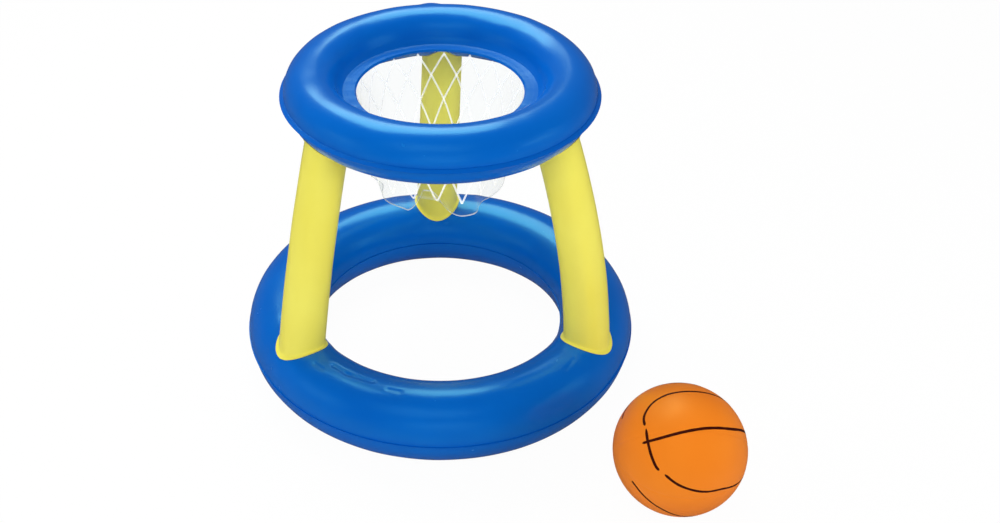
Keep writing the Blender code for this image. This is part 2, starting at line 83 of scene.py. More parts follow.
def add_node(tree, kind, inputs=None, **settings):
    """Adds a node with its settings, and gives each named input a value or a link."""
    node = tree.nodes.new(kind)
    for name, value in settings.items():
        setattr(node, name, value)
    for name, value in (inputs or {}).items():
        if isinstance(value, bpy.types.NodeSocket):
            tree.links.new(value, node.inputs[name])
        else:
            node.inputs[name].default_value = value
    return node


def new_material(name, sockets):
    """A new material, with these sockets of its shader set."""
    material = bpy.data.materials.new(name)
    material.use_nodes = True
    for socket, value in sockets.items():
        material.node_tree.nodes["Principled BSDF"].inputs[socket].default_value = value
    return material


def room_rays(tree):
    """1 for the rays that show the room as it is, which are the camera's and those through clear film, and
    1 for those that gloss throws back."""
    path = add_node(tree, "ShaderNodeLightPath")
    clear = add_node(
        tree, "ShaderNodeMath", {0: path.outputs["Is Camera Ray"], 1: path.outputs["Is Transmission Ray"]},
        operation="MAXIMUM",
    )
    return clear.outputs[0], path.outputs["Is Glossy Ray"]


bpy.ops.object.select_all(action="DESELECT")
bpy.ops.object.camera_add(
    location=(HOOP_X, HOOP_Y - CAMERA_BACK, CAMERA_HEIGHT), rotation=(CAMERA_PITCH, 0, 0)
)
camera = bpy.context.object
camera.name = "camera"
camera.data.sensor_width = 36
camera.data.lens = CAMERA_LENS
camera.data.shift_x = CAMERA_SHIFT
bpy.context.scene.camera = camera
bpy.context.scene.view_settings.view_transform = "Standard"

for name, (azimuth, rise, distance, width, height, power) in (SOFTBOXES | FILL_SCREENS).items():
    azimuth, rise = math.radians(azimuth), math.radians(rise)
    aim = Vector((math.cos(azimuth) * math.cos(rise), math.sin(azimuth) * math.cos(rise), math.sin(rise)))
    bpy.ops.object.light_add(
        type="AREA", location=LAMP_TARGET + distance * aim, rotation=aim.to_track_quat("Z", "Y").to_euler()
    )
    lamp = bpy.context.object
    lamp.name = name
    lamp.data.shape = "RECTANGLE"
    lamp.data.size = width
    lamp.data.size_y = height
    lamp.data.energy = power
    lamp.visible_camera = False
    lamp.visible_glossy = name in SOFTBOXES

world = bpy.data.worlds.new("white_room")
bpy.context.scene.world = world
world.use_nodes = True
room = world.node_tree
clear, glossy = room_rays(room)
lit = add_node(room, "ShaderNodeMapRange", {"Value": glossy, "To Min": ROOM_LIGHT, "To Max": ROOM_GLOSS})
strength = add_node(room, "ShaderNodeMath", {0: lit.outputs[0], 1: clear}, operation="MAXIMUM")
room.nodes["Background"].inputs["Color"].default_value = srgb("#FFFFFF")
room.links.new(strength.outputs[0], room.nodes["Background"].inputs["Strength"])

bpy.ops.object.select_all(action="DESELECT")
bpy.ops.mesh.primitive_plane_add(size=PAPER_SIZE, location=(0, 0, 0))
paper = bpy.context.object
paper.name = "paper"
paper_material = new_material("matt_white_paper", {"Base Color": srgb("#F8F8F8"), "Roughness": 0.9})
tree = paper_material.node_tree
matt = tree.nodes["Principled BSDF"]
clear, glossy = room_rays(tree)
share = add_node(
    tree, "ShaderNodeMath", {0: clear, 1: PAPER_WHITE_SHARE, 2: glossy}, operation="MULTIPLY_ADD"
)
white = add_node(tree, "ShaderNodeMapRange", {"Value": glossy, "To Min": 1.0, "To Max": PAPER_GLOSS})
glow = add_node(tree, "ShaderNodeEmission", {"Color": srgb("#FFFFFF"), "Strength": white.outputs[0]})
mixed = add_node(tree, "ShaderNodeMixShader", {0: share.outputs[0], 1: matt.outputs[0], 2: glow.outputs[0]})
tree.links.new(mixed.outputs[0], tree.nodes["Material Output"].inputs["Surface"])
paper.data.materials.append(paper_material)


# Base ring. Two flat rings of blue vinyl sheet, welded together at their outer and inner edges and
# blown up, so that the tube is round between two thin seams. The sheet puckers a little along them.
AXIS = Vector((HOOP_X, HOOP_Y, 0))
SHEET = 0.0004
WELD_GAP = 0.00002
RING_SEGMENTS = 480
SECTION_SEGMENTS = 144
ROOT_HEIGHT = 0.0045


def from_axis(point):
    """How far a point is from the hoop's axis."""
    return math.hypot(point.x - HOOP_X, point.y - HOOP_Y)


class Tube:
    """A blown-up ring: its centre line, the half width and height of its section, and its seams' height."""

    def __init__(self, radius, half_width, half_height, seam):
        self.radius = radius
        self.half_width = half_width
        self.half_height = half_height
        self.seam = seam
        self.outer = radius + half_width
        self.inner = radius - half_width

    def place(self, point):
        """Azimuth round the hoop's axis, and angle round the section from the outer seam."""
        out = from_axis(point) - self.radius
        azimuth = math.atan2(point.y - HOOP_Y, point.x - HOOP_X)
        return azimuth, math.atan2((point.z - self.seam) / self.half_height, out / self.half_width)

    def normal(self, azimuth, angle):
        """The direction out of the tube's wall."""
        out = math.cos(angle) / self.half_width
        up = math.sin(angle) / self.half_height
        return Vector((out * math.cos(azimuth), out * math.sin(azimuth), up)).normalized()

    def over(self, point, offset):
        """Below 0 inside the tube grown by an offset, and above 0 outside it."""
        out = from_axis(point) - self.radius
        up = point.z - self.seam
        return math.hypot(out / (self.half_width + offset), up / (self.half_height + offset)) - 1


BASE = Tube(0.2483, 0.0552, 0.0584, 0.0579)
TOP = Tube(0.1831, 0.0379, 0.0391, 0.4667)
BASE_LIP = 0.0015

# The legs' centre lines, because their weld marks are on both rings. Each leg stands a little
# differently: its azimuth in degrees, its foot's radius, its outward bow and its sideways lean
LEGS = {
    "back": (90.4, 0.2423, 0.0035, 0.0041),
    "left": (213.5, 0.2458, 0.0036, -0.0012),
    "right": (330.35, 0.2503, 0.0107, 0.0033),
}
FOOT_HEIGHT = 0.1163
HEAD_HEIGHT = 0.4276
LEG_HEAD_RADIUS = 0.1870
# By the side of the ring that it stands on: a leg end's name, ring, tube radius and weld lip
LEG_ENDS = {1: ("foot", BASE, 0.0343, 0.0040), -1: ("head", TOP, 0.0309, 0.0018)}


def leg_axis(leg, height):
    """A point on a leg's centre line, from the hoop's axis and before it is turned to its azimuth."""
    _, foot_radius, bow, lean = LEGS[leg]
    share = (height - FOOT_HEIGHT) / (HEAD_HEIGHT - FOOT_HEIGHT)
    chord = foot_radius + share * (LEG_HEAD_RADIUS - foot_radius)
    return Vector((chord + 4 * bow * share * (1 - share), lean * (1 - 2 * share), height))


def leg_place(leg):
    """Turns a leg from azimuth 0 to its own place on the hoop."""
    turn = Matrix.Rotation(math.radians(LEGS[leg][0]), 4, "Z")
    return Matrix.Translation(AXIS) @ turn


def ease(start, end, value):
    """0 before start, 1 after end, and smooth between."""
    share = min(1.0, max(0.0, (value - start) / (end - start)))
    return share * share * (3 - 2 * share)


def round_noise(azimuth, waves, height):
    """Soft noise that closes on itself round the hoop, with about this many waves."""
    reach = waves / 3
    return noise.noise(Vector((reach * math.cos(azimuth), reach * math.sin(azimuth), height)))


def start_piece(name, add, **settings):
    """Adds a primitive with nothing else selected, puts its place in its mesh and opens it for editing."""
    bpy.ops.object.select_all(action="DESELECT")
    add(**settings)
    piece = bpy.context.object
    piece.name = piece.data.name = name
    bpy.ops.object.transform_apply(location=True, rotation=True, scale=True)
    bpy.ops.object.mode_set(mode="EDIT")
    bpy.ops.mesh.select_mode(type="VERT")
    bpy.ops.mesh.select_all(action="SELECT")
    return piece


def apply_modifier(piece, kind, **settings):
    """Adds a modifier, sets it and applies it."""
    modifier = piece.modifiers.new(kind.lower(), kind)
    for name, value in settings.items():
        setattr(modifier, name, value)
    bpy.context.view_layer.objects.active = piece
    bpy.ops.object.modifier_apply(modifier=modifier.name)


def finish_piece(piece, material, slot, body, *nodes, angle=40):
    """Smooths a piece, gives it its material and its body, and hides the CAD nodes that it stands for."""
    bpy.ops.object.select_all(action="DESELECT")
    piece.select_set(True)
    bpy.context.view_layer.objects.active = piece
    bpy.ops.object.shade_smooth_by_angle(angle=math.radians(angle))
    piece.data.materials.clear()
    piece.data.materials.append(material)
    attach(piece, body)
    if nodes:
        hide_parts(*nodes)


def draw_out(piece, tube, outside, rings, root=0.0):
    """Extrudes the open outer or inner loop of a ring's panel through rings of radius and drop."""
    radius = tube.outer if outside else tube.inner - root
    mesh = bmesh.from_edit_mesh(piece.data)
    bpy.ops.mesh.select_all(action="DESELECT")
    for edge in mesh.edges:
        beyond = from_axis((edge.verts[0].co + edge.verts[1].co) / 2) > tube.radius
        edge.select_set(edge.is_boundary and beyond == outside)
    bmesh.update_edit_mesh(piece.data)
    for next_radius, drop in rings:
        grow = next_radius / radius
        bpy.ops.mesh.extrude_region()
        bpy.ops.transform.resize(value=(grow, grow, 1), center_override=(HOOP_X, HOOP_Y, 0))
        bpy.ops.transform.translate(value=(0, 0, -drop))
        radius = next_radius


def leg_distance(point, side):
    """How far a point is from the nearest leg's weld on a ring, and where it lies from that leg's root."""
    _, tube, radius, lip = LEG_ENDS[side]
    found = []
    for leg in LEGS:
        root = leg_axis(leg, tube.seam + side * tube.half_height)
        tip = leg_axis(leg, tube.seam + side * tube.half_height * 1.5)
        along = (tip - root).normalized()
        local = leg_place(leg).inverted() @ point - root
        found.append(((local - along * local.dot(along)).length - radius - lip, local))
    return min(found, key=lambda pair: pair[0])


# Fold lines pressed in beside the feet: azimuth and section angle in degrees at both ends, and depth
CREASES = (
    (-134.2, 75.4, -130.6, 74.5, 0.0009), (-128.6, 89.8, -121.5, 87.0, 0.0015),
    (-122.5, 87.0, -113.0, 89.2, 0.0013), (-106.6, 81.5, -102.8, 81.2, 0.0008),
    (-47.0, 68.0, -42.4, 73.0, 0.0008), (96.4, 139.9, 97.8, 140.3, 0.0008),
    (86.3, 141.1, 87.7, 140.7, 0.0008),
)
CREASE_WIDTH = 0.0038
CREASE_MARGIN = 4.0
CREASE_CUTS = 2


def crease_depth(azimuth, angle):
    """How far the base ring's fold lines press its sheet in at a place."""
    around, across = math.degrees(azimuth), math.degrees(angle)
    deep = 0.0
    for start_around, start_across, end_around, end_across, depth in CREASES:
        long_scale = math.radians(1) * (BASE.radius + BASE.half_width * math.cos(math.radians(start_across)))
        across_scale = math.radians(1) * BASE.half_width
        way = Vector(((end_around - start_around) * long_scale, (end_across - start_across) * across_scale))
        spot = Vector(((around - start_around) * long_scale, (across - start_across) * across_scale))
        share = min(1.0, max(0.0, spot.dot(way) / way.length_squared))
        away = (spot - share * way).length
        if away < 4 * CREASE_WIDTH:
            deep += depth * math.exp(-(away / CREASE_WIDTH) ** 2)
    return deep


def divide_for_creases(panel, tube):
    """Divides the sheet finely round its fold lines, and keeps the new points on the tube's round section."""
    mesh = bmesh.from_edit_mesh(panel.data)
    bpy.ops.mesh.select_mode(type="FACE")
    for face in mesh.faces:
        around, across = (math.degrees(angle) for angle in tube.place(face.calc_center_median()))
        face.select_set(any(
            start - CREASE_MARGIN < around < end + CREASE_MARGIN
            and min(low, high) - 3 * CREASE_MARGIN < across < max(low, high) + 3 * CREASE_MARGIN
            for start, low, end, high, _ in CREASES if start < end
        ))
    bmesh.update_edit_mesh(panel.data)
    bpy.ops.mesh.subdivide(number_cuts=CREASE_CUTS)
    centre = AXIS + Vector((0, 0, tube.seam))
    for point in bmesh.from_edit_mesh(panel.data).verts:
        if point.select:
            azimuth, angle = tube.place(point.co)
            out = tube.radius + tube.half_width * math.cos(angle)
            up = tube.half_height * math.sin(angle)
            point.co = centre + Vector((out * math.cos(azimuth), out * math.sin(azimuth), up))
    bmesh.update_edit_mesh(panel.data)
    bpy.ops.mesh.select_mode(type="VERT")


# Depth of the long swells, and the waves round a ring of the swells, of the puckers that run out from its
# outer and inner weld, and of the ripples in its lips. Puckers are given with how far they reach
SWELL = 0.0004
SWELL_WAVES = 14
OUTER_PUCKERS = (150, 0.007)
INNER_PUCKERS = (95, 0.011)
LIP_WAVES = 110
FINE_LIP_WAVES = 230
SEAM_FADE = 0.004
WELD_FADE = 0.0015
# Round a leg's weld the sheet folds like a star, and is pulled in a little way off it
STAR_FOLDS = 11
STAR_DEPTH = 0.00035
STAR_REACH = 0.012
PULL = 0.0007
PULL_MIDDLE = 0.016
PULL_REACH = 0.012
# Small tucks in the top ring's fin, between these azimuths
TUCKS_FROM = (-91, -84)
TUCKS_TO = (-46, -52)
TUCK_HEIGHT = 0.0009
TUCK_WAVES = 170


def pucker(depth, azimuth, puckers, seed, away):
    """Folds across a weld, which die away from it."""
    waves, reach = puckers
    return depth * round_noise(azimuth, waves, seed) * math.exp(-away / reach)


def wrinkle(piece, tube, side, depths):
    """Moves a panel's points out and in: long swells, puckers at both seams and creases at the welds."""
    outer_depth, inner_depth, lip_depth = depths
    for point in piece.data.vertices:
        place = point.co.copy()
        azimuth, angle = tube.place(place)
        out = from_axis(place)
        from_outer = abs(angle) * tube.half_width
        from_inner = (math.pi - abs(angle)) * tube.half_width
        swell = SWELL * round_noise(azimuth, SWELL_WAVES, 3 * math.sin(angle) + 11.3)
        outer = pucker(outer_depth, azimuth, OUTER_PUCKERS, 1.7, from_outer)
        inner = pucker(inner_depth, azimuth, INNER_PUCKERS, 7.9, from_inner)
        free = ease(0.0, SEAM_FADE, from_outer) * ease(0.0, SEAM_FADE, from_inner)
        move = swell * free + (outer + inner) * ease(0.0, WELD_FADE, min(from_outer, from_inner))
        lip = max(out - tube.outer, tube.inner - out, 0)
        if tube is LEG_ENDS[side][1]:
            gap, local = leg_distance(place, side)
            round_weld = math.atan2(local.y, local.x)
            fold = STAR_DEPTH * math.sin(STAR_FOLDS * round_weld) * math.exp(-max(gap, 0) / STAR_REACH)
            pull = PULL * math.exp(-((gap - PULL_MIDDLE) / PULL_REACH) ** 2)
            move = (move + fold - pull) * ease(0.001, 0.012, gap)
            if side > 0:
                move -= crease_depth(azimuth, angle)
        if lip > 0.00001:
            ripple = round_noise(azimuth, LIP_WAVES, 2.3) + 0.5 * round_noise(azimuth, FINE_LIP_WAVES, 5.2)
            point.co.z += lip_depth * ripple * min(1.0, lip / 0.003)
            if tube is TOP and side > 0 and out > tube.radius and lip < 0.0012:
                degrees = math.degrees(azimuth)
                tucked = ease(*TUCKS_FROM, degrees) * ease(*TUCKS_TO, degrees)
                tuck = noise.noise(Vector((TUCK_WAVES * azimuth, 0.3, 0.7)))
                point.co.z += TUCK_HEIGHT * tucked * max(0.0, tuck)
        else:
            point.co += tube.normal(azimuth, angle) * move


# Where each valve sits: the middle of its flange, the direction out of the sheet, and a direction along it
VALVES = {
    "base_valve": ((0.011622, 0.347169, 0.090009), (0.196832, 0.819864, 0.537662), (-0.97237, 0.233445, 0)),
    "top_valve": ((-0.073326, 0.275519, 0.488292), (-0.065542, 0.832787, 0.5497), (-0.996917, -0.07846, 0)),
    "ball_valve": ((0.282353, -0.196132, 0.128738), (0.124586, 0.899247, 0.419325), (0, -0.422618, 0.906308)),
}
VALVE_FLAT = 0.0125
VALVE_FADE = 0.026
VALVE_HOLE = 0.0063


def valve_place(valve):
    """The frame of a valve, with Z out of the sheet."""
    middle, out, along = (Vector(row) for row in VALVES[valve])
    place = Matrix((along, out.cross(along), out)).transposed().to_4x4()
    place.translation = middle
    return place


def flatten_for_valve(piece, valve):
    """Draws the sheet flat where a valve's flange is welded on it."""
    inward = valve_place(valve).inverted()
    for point in piece.data.vertices:
        local = inward @ point.co
        if local.length < 2 * VALVE_FADE and local.z > -VALVE_FADE / 2:
            flat = 1 - ease(VALVE_FLAT, VALVE_FADE, local.to_2d().length)
            local.z *= 1 - flat
            point.co = valve_place(valve) @ local


def cut_valve_hole(piece, valve):
    """Cuts the hole that a valve's collar goes down through."""
    bpy.ops.object.select_all(action="DESELECT")
    bpy.ops.mesh.primitive_cylinder_add(vertices=48, radius=VALVE_HOLE, depth=0.02)
    cutter = bpy.context.object
    cutter.matrix_world = valve_place(valve)
    bpy.context.view_layer.update()
    apply_modifier(piece, "BOOLEAN", operation="DIFFERENCE", object=cutter, solver="EXACT")
    bpy.data.objects.remove(cutter)


def thicken(sheet, valve=None, **settings):
    """Gives a sheet its thickness inwards, and where it carries a valve a flat place and a hole for it."""
    if valve:
        flatten_for_valve(sheet, valve)
    apply_modifier(sheet, "SOLIDIFY", thickness=SHEET, offset=-1, **settings)
    if valve:
        cut_valve_hole(sheet, valve)


def draw_root(piece, tube, root):
    """Draws a ring's inner edge in to its weld, so that the tube runs into the band in a hollow curve."""
    for point in bmesh.from_edit_mesh(piece.data).verts:
        out = from_axis(point.co)
        if out < tube.radius:
            near = math.exp(-(abs(point.co.z - tube.seam) / ROOT_HEIGHT) ** 1.5)
            grow = 1 - root * near / out
            point.co.x = HOOP_X + (point.co.x - HOOP_X) * grow
            point.co.y = HOOP_Y + (point.co.y - HOOP_Y) * grow
    bmesh.update_edit_mesh(piece.data)


def ring_panel(name, tube, side, lip, band, root):
    """One sheet of a ring, from a torus that is cut at the weld and drawn out to the lips."""
    centre = (HOOP_X, HOOP_Y, tube.seam)
    panel = start_piece(
        name, bpy.ops.mesh.primitive_torus_add, location=centre, major_segments=RING_SEGMENTS,
        minor_segments=SECTION_SEGMENTS, major_radius=tube.radius, minor_radius=tube.half_width,
        generate_uvs=False,
    )
    bpy.ops.transform.resize(
        value=(1, 1, tube.half_height / tube.half_width), center_override=centre
    )
    face = tube.seam + side * (WELD_GAP + SHEET)
    bpy.ops.mesh.bisect(
        plane_co=(HOOP_X, HOOP_Y, face), plane_no=(0, 0, side), clear_inner=True, threshold=0.000001
    )
    draw_root(panel, tube, root)
    if tube is BASE and side > 0:
        bpy.ops.mesh.select_all(action="DESELECT")
        divide_for_creases(panel, tube)
    draw_out(panel, tube, True, lip)
    draw_out(panel, tube, False, band, root)
    bpy.ops.object.mode_set(mode="OBJECT")
    return panel


def mark_weld_shade(panel, tube):
    """Marks the pressed outer weld of a panel, from 0 on the free sheet to 1 on the lip, where the blue
    material paints shade.
    """
    marks = panel.data.attributes.new("weld", "FLOAT", "POINT")
    for point, mark in zip(panel.data.vertices, marks.data):
        mark.value = ease(-SHEET, 0.0, from_axis(point.co) - tube.outer)


PVC_IOR = 1.53
# Over these lengths the sheet's colour drifts, its gloss breaks up where it was handled, and its skin is
# dimpled. The dimples are drawn about twice as coarse as real ones, so that they show
DRIFT = 0.11
SMEAR = 0.018
PEEL = 0.0022


def vinyl_material(name, light, deep, roughness, specular, gloss_tint="#FFFFFF"):
    """Soft PVC sheet, calendered between polished rolls: even colour, satin gloss, faint orange peel."""
    material = new_material(
        name, {"IOR": PVC_IOR, "Specular IOR Level": specular, "Specular Tint": srgb(gloss_tint)}
    )
    tree = material.node_tree
    shader = tree.nodes["Principled BSDF"]
    where = add_node(tree, "ShaderNodeTexCoord").outputs["Object"]
    drift = add_node(tree, "ShaderNodeTexNoise", {"Vector": where, "Scale": 1 / DRIFT, "Detail": 2.0})
    tone = add_node(
        tree, "ShaderNodeMapRange", {"Value": drift.outputs["Fac"], "From Min": 0.35, "From Max": 0.65}
    )
    mix = add_node(
        tree, "ShaderNodeMixRGB", {"Fac": tone.outputs[0], "Color1": srgb(light), "Color2": srgb(deep)}
    )
    tree.links.new(mix.outputs[0], shader.inputs["Base Color"])
    smear = add_node(tree, "ShaderNodeTexNoise", {"Vector": where, "Scale": 1 / SMEAR, "Detail": 4.0})
    gloss = add_node(
        tree, "ShaderNodeMapRange",
        {"Value": smear.outputs["Fac"], "To Min": roughness - 0.05, "To Max": roughness + 0.05},
    )
    tree.links.new(gloss.outputs[0], shader.inputs["Roughness"])
    peel = add_node(tree, "ShaderNodeTexNoise", {"Vector": where, "Scale": 1 / PEEL, "Detail": 1.0})
    bump = add_node(
        tree, "ShaderNodeBump", {"Height": peel.outputs["Fac"], "Strength": 0.12, "Distance": 0.00005}
    )
    tree.links.new(bump.outputs[0], shader.inputs["Normal"])
    return material


blue = vinyl_material("blue_pvc_sheet", "#0063C6", "#005EC1", 0.25, 0.85, "#7CFFFF")
# The pressed outer welds are painted a touch darker blue: painted shade, for the shade that the fins lie in
# under the tubes
tree = blue.node_tree
sheet_colour = tree.nodes["Principled BSDF"].inputs["Base Color"]
pressed = add_node(tree, "ShaderNodeAttribute", attribute_name="weld")
with_painted_weld_shade = add_node(
    tree, "ShaderNodeMixRGB",
    {"Fac": pressed.outputs["Fac"], "Color1": sheet_colour.links[0].from_socket, "Color2": srgb("#005EC4")},
)
tree.links.new(with_painted_weld_shade.outputs[0], sheet_colour)


def make_ring(ring, tube, lip, band, root, depths):
    """Makes a ring's two sheets. The upper one carries its valve, and neither goes below the floor."""
    for side, word in ((1, "upper"), (-1, "lower")):
        panel = ring_panel(f"{ring}_ring_{word}_sheet", tube, side, lip, band, root)
        wrinkle(panel, tube, side, depths)
        for point in panel.data.vertices:
            point.co.z = max(point.co.z, 0.0)
        mark_weld_shade(panel, tube)
        thicken(panel, f"{ring}_valve" if side > 0 else None, use_even_offset=True)
        finish_piece(panel, blue, "blue_vinyl", "hoop", f"{ring}_ring_{word}_panel")


BASE_LIP_STEPS = [(BASE.outer + BASE_LIP / 2, 0.0), (BASE.outer + BASE_LIP, 0.0)]
BASE_BAND_STEPS = [(BASE.inner - BASE_LIP / 2, 0.0), (BASE.inner - BASE_LIP, 0.0)]
make_ring("base", BASE, BASE_LIP_STEPS, BASE_BAND_STEPS, 0.0, (0.00015, 0.0003, 0.0001))


# Top ring. Made like the base ring, but with a wider weld outside that stands out as a thin fin, and a
# broad weld band inside, which sags a little over the net and carries it.
TOP_ROOT = 0.0052
# Reach and drop of each step: outside over a bead and out along the fin, inside over two weld lines
TOP_LIP_STEPS = ((0.0005, -0.0001), (0.0010, 0.0001), (0.0015, 0.0004), (0.0030, 0.0009), (0.0055, 0.0017))
TOP_BAND_STEPS = (
    (0.0004, 0.0003), (0.0020, 0.0019), (0.0030, 0.0), (0.0066, 0.0), (0.0076, -0.0001), (0.0086, 0.0001),
    (0.0096, 0.0), (0.0126, 0.0), (0.0136, -0.0001), (0.0146, 0.0001), (0.0156, 0.0), (0.0190, 0.0001),
    (0.0200, 0.0012), (0.0210, 0.0012),
)
make_ring(
    "top", TOP, [(TOP.outer + reach, drop) for reach, drop in TOP_LIP_STEPS],
    [(TOP.inner - TOP_ROOT - reach, drop) for reach, drop in TOP_BAND_STEPS],
    TOP_ROOT, (0.0002, 0.0001, 0.0003),
)


# Legs. Each is a tube of yellow vinyl sheet, lapped and welded along its length and a little bowed. Its
# ends flare out flat and are welded with a round disc, which in turn is welded to the ring.
LEG_SIDES = 120
LEG_LOOPS = 72
FLARE_SHARE = 0.6
RIM_SHARES = (1.0, 0.9, 0.7)
FILLET_STEPS = 4
END_LOOPS = len(RIM_SHARES) + FILLET_STEPS + 1
DISC_FACE = 0.00002
DISC_MARGIN = 0.0003
LEG_FACE = DISC_FACE + SHEET + 0.00002
# Small gathers near the ends, soft swells, and the raised lap of the long weld with its turn in degrees
GATHER = 0.00025
GATHER_REACH = 0.012
LEG_SWELL = 0.0003
LAP_RISE = 0.0004
LAP_EDGE = (4.0, 7.0)
LAP_TURN = {"back": -105, "left": -105, "right": 105}

yellow = vinyl_material("yellow_pvc_sheet", "#F2EA62", "#EEE45A", 0.34, 0.3)


def leg_wall(leg, turn, height, reach):
    """A point at a reach from a leg's centre line, before the leg is turned to its azimuth."""
    step = 0.001
    along = (leg_axis(leg, height + step) - leg_axis(leg, height - step)).normalized()
    outward = Vector((0, 1, 0)).cross(along).normalized()
    sideways = along.cross(outward)
    return leg_axis(leg, height) + reach * (math.cos(turn) * outward + math.sin(turn) * sideways)


def tube_radius(height):
    """The radius of a leg's tube, slimmer at its head."""
    share = (height - FOOT_HEIGHT) / (HEAD_HEIGHT - FOOT_HEIGHT)
    foot, head = LEG_ENDS[1][2], LEG_ENDS[-1][2]
    return foot + share * (head - foot)


def meeting_height(leg, turn, reach, side, offset):
    """The height where a line along a leg, at a reach from its centre line, meets a ring's wall."""
    tube = LEG_ENDS[side][1]
    inside = tube.seam + side * 0.2 * tube.half_height
    outside = tube.seam + side * 1.6 * tube.half_height
    for _ in range(40):
        middle = (inside + outside) / 2
        point = leg_wall(leg, turn, middle, reach) + AXIS
        if tube.over(point, offset) > 0:
            outside = middle
        else:
            inside = middle
    return (inside + outside) / 2


def end_profile(leg, turn, side):
    """Points from a flared end's rim, over the weld and round its fillet, up to the tube's wall."""
    _, _, radius, lip = LEG_ENDS[side]
    flare = lip * FLARE_SHARE
    bends = [math.pi / 2 * step / FILLET_STEPS for step in range(FILLET_STEPS + 1)]
    rows = [(lip * share, 0.0) for share in RIM_SHARES]
    rows += [(flare * (1 - math.sin(bend)), flare * (1 - math.cos(bend))) for bend in bends]
    points = []
    for reach, rise in rows:
        height = meeting_height(leg, turn, radius + reach, side, LEG_FACE + SHEET)
        points.append((height + side * rise, radius + reach))
    return points


def open_tube(name, sides, loops):
    """An open tube of radius and height 1, from a cylinder that is cut across into loops."""
    tube = start_piece(
        name, bpy.ops.mesh.primitive_cylinder_add, vertices=sides, radius=1.0, depth=1.0,
        end_fill_type="NOTHING", location=(0, 0, 0.5), calc_uvs=False,
    )
    mesh = bmesh.from_edit_mesh(tube.data)
    bpy.ops.mesh.select_all(action="DESELECT")
    bpy.ops.mesh.select_mode(type="EDGE")
    for edge in mesh.edges:
        edge.select_set(abs(edge.verts[0].co.z - edge.verts[1].co.z) > 0.5)
    bmesh.update_edit_mesh(tube.data)
    bpy.ops.mesh.subdivide(number_cuts=loops)
    bpy.ops.object.mode_set(mode="OBJECT")
    return tube


def leg_tube(leg):
    """A leg's tube, drawn on to its bowed line, with its flared ends and its lapped weld."""
    tube = open_tube(f"leg_tube_{leg}_sheet", LEG_SIDES, LEG_LOOPS)
    profiles = []
    for step in range(LEG_SIDES):
        turn = 2 * math.pi * step / LEG_SIDES
        foot, head = end_profile(leg, turn, 1), end_profile(leg, turn, -1)
        between = LEG_LOOPS + 2 - 2 * END_LOOPS
        low, high = foot[-1][0], head[-1][0]
        wall = [low + (high - low) * (index + 1) / (between + 1) for index in range(between)]
        profiles.append(foot + [(height, tube_radius(height)) for height in wall] + head[::-1])
    place = leg_place(leg)
    seed = LEGS[leg][0]
    for point in tube.data.vertices:
        turn = math.atan2(point.co.y, point.co.x)
        loop = round(point.co.z * (LEG_LOOPS + 1))
        height, reach = profiles[round(turn / (2 * math.pi) * LEG_SIDES) % LEG_SIDES][loop]
        from_end = min(height - FOOT_HEIGHT, HEAD_HEIGHT - height)
        if END_LOOPS <= loop <= LEG_LOOPS + 1 - END_LOOPS:
            gather = math.exp(-max(from_end, 0) / GATHER_REACH)
            round_leg = Vector((math.cos(turn), math.sin(turn), 0))
            reach += GATHER * gather * noise.noise(7 * round_leg + Vector((0, 0, seed)))
            reach += LEG_SWELL * noise.noise(1.5 * round_leg + Vector((0, 0, 18 * height + seed)))
            off_lap = abs(math.degrees(turn) - LAP_TURN[leg])
            reach += LAP_RISE * (1 - ease(*LAP_EDGE, min(off_lap, 360 - off_lap)))
        point.co = place @ leg_wall(leg, turn, height, reach)
    thicken(tube)
    return tube


def drawn_disc(name, sides, rings):
    """A disc drawn in from a circle through rings of radius, and still open for editing."""
    disc = start_piece(
        name, bpy.ops.mesh.primitive_circle_add, vertices=sides, radius=rings[0], fill_type="NOTHING"
    )
    for before, after in zip(rings, rings[1:]):
        bpy.ops.mesh.extrude_region()
        bpy.ops.transform.resize(value=(after / before,) * 3, center_override=(0, 0, 0))
    return disc


def weld_disc(leg, side, hole):
    """The disc that closes a leg's end, laid on the ring."""
    end, _, radius, lip = LEG_ENDS[side]
    rings = [radius + lip + DISC_MARGIN, radius + lip, radius, radius * 0.8, radius * 0.6, radius * 0.4, hole]
    disc = drawn_disc(f"leg_{end}_disc_{leg}_sheet", LEG_SIDES, rings)
    bpy.ops.object.mode_set(mode="OBJECT")
    place = leg_place(leg)
    for point in disc.data.vertices:
        turn = math.atan2(point.co.y, point.co.x)
        reach = math.hypot(point.co.x, point.co.y)
        height = meeting_height(leg, turn, reach, side, DISC_FACE + (SHEET if side > 0 else 0))
        point.co = place @ leg_wall(leg, turn, height, reach)
    thicken(disc)
    return disc


# The foot's disc has an air port, and the head's is closed but for a pin prick
AIR_PORT = 0.005
PIN_PRICK = 0.0004
for leg in LEGS:
    finish_piece(leg_tube(leg), yellow, "yellow_vinyl", "hoop", f"leg_tube_{leg}")
    for end, side, hole in (("foot", 1, AIR_PORT), ("head", -1, PIN_PRICK)):
        finish_piece(weld_disc(leg, side, hole), yellow, "yellow_vinyl", "hoop", f"leg_{end}_disc_{leg}")


# Net. A skirt of clear vinyl film, cut to a slight taper, printed with a white lattice and welded under
# the top ring's inner band. It hangs free, ripples, and its bare lower margin curls in at the front left.
FILM = 0.0003
NET_SEGMENTS = 288
NET_LOOPS = 60
NET_TOP_RADIUS = 0.1187
NET_HEM_RADIUS = 0.1005
NET_TOP_HEIGHT = 0.4604
NET_LENGTH = 0.1445
NET_BAND = 0.008
NET_MARGIN = 0.035
FILM_GAP = 0.0001
# Width of the band along the hem where a highlight is painted, and the share of shine painted there
HEM_GLINT_WIDTH = 0.002
HEM_PAINTED_GLINT = 0.75
# The margin's curl: azimuths over which it begins and ends, its bend, and two slight curls, each with its
# azimuth, how far it spreads and its share
CURL_FROM = (-118, -108)
CURL_TO = (-74, -102)
CURL_BEND = 2.3
SLIGHT_CURLS = ((48, 16, 0.35), (-165, 12, 0.3))
